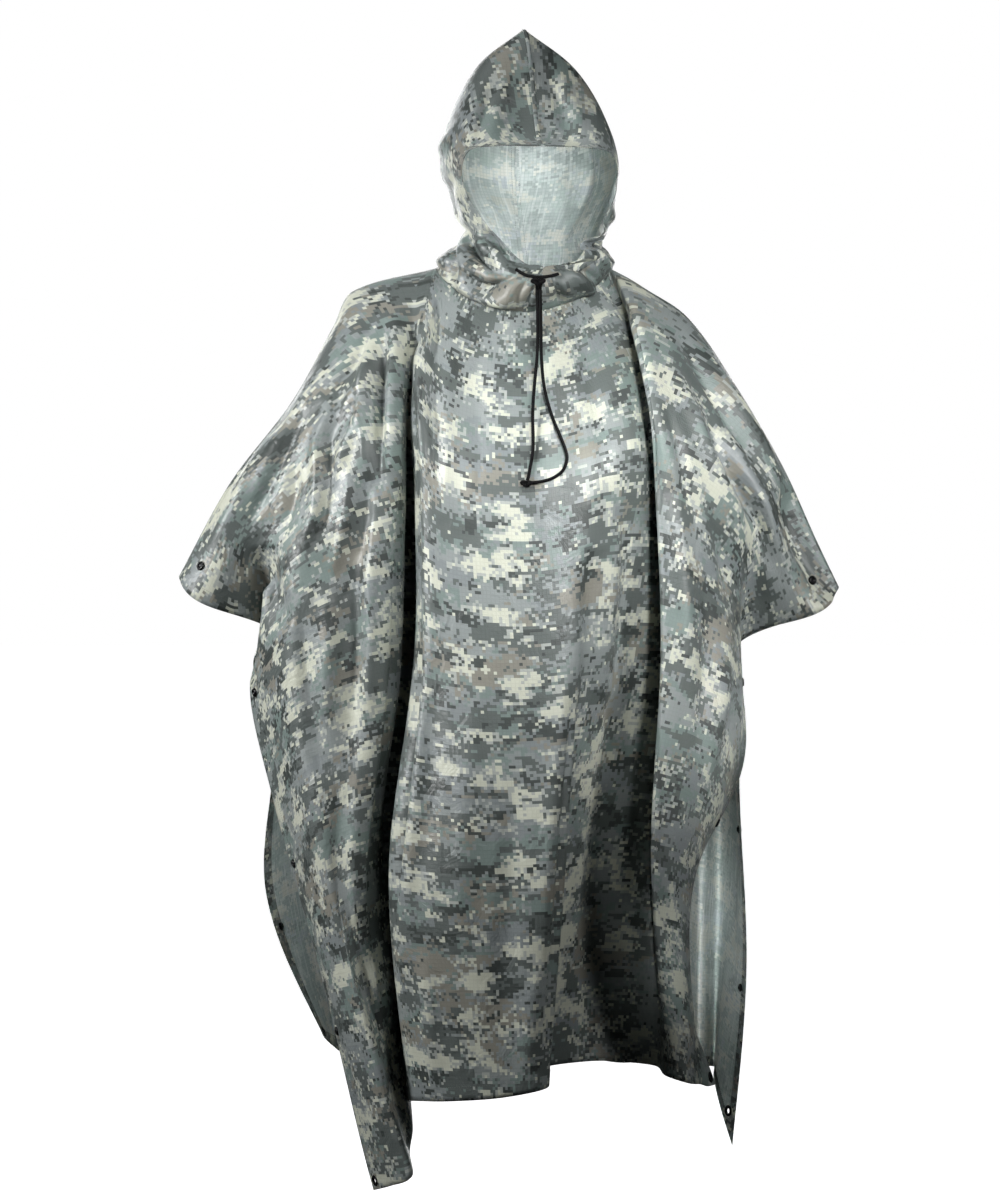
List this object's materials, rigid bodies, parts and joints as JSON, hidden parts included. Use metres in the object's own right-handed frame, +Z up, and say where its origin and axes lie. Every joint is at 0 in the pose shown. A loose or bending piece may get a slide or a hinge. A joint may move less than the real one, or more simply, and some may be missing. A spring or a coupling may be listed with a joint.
{
  "type": "hooded rain poncho",
  "caption": "Hooded rain poncho in camouflage ripstop, held open as worn: draped front and back panels, wide sleeves, drawstring at the chin, snaps down the side edges.",
  "frame": {"origin": "between the shoulders at the neck, where the wearer's shoulders hold the poncho", "axes": "+X to the right of someone facing the poncho, -Y out of its front, +Z up"},
  "size_m": [0.8664, 0.4357, 1.5295],
  "materials": {
    "camouflage_ripstop": "coated ripstop weave, soft sheen, printed with a pixel camouflage",
    "black_cord": "matt braided cord",
    "black_lacquered_brass": "satin black lacquer"
  },
  "bodies": {
    "root": {"front_panel": "camouflage_ripstop", "back_panel": "camouflage_ripstop", "hood_left": "camouflage_ripstop", "hood_right": "camouflage_ripstop", "chin_cord": "black_cord", "chin_knot": "black_cord", "drawstring_left": "black_cord", "drawstring_right": "black_cord", "end_knot": "black_cord", "snap_front_left_1": "black_lacquered_brass", "snap_front_left_2": "black_lacquered_brass", "snap_front_left_3": "black_lacquered_brass", "snap_front_left_4": "black_lacquered_brass", "snap_front_right_1": "black_lacquered_brass", "snap_front_right_2": "black_lacquered_brass", "snap_front_right_3": "black_lacquered_brass", "snap_front_right_4": "black_lacquered_brass", "snap_back_left_1": "black_lacquered_brass", "snap_back_left_2": "black_lacquered_brass", "snap_back_left_3": "black_lacquered_brass", "snap_back_left_4": "black_lacquered_brass", "snap_back_right_1": "black_lacquered_brass", "snap_back_right_2": "black_lacquered_brass", "snap_back_right_3": "black_lacquered_brass", "snap_back_right_4": "black_lacquered_brass", "eyelet_front_left": "black_lacquered_brass", "eyelet_front_right": "black_lacquered_brass", "eyelet_back_left": "black_lacquered_brass", "eyelet_back_right": "black_lacquered_brass"}
  },
  "joints": []
}
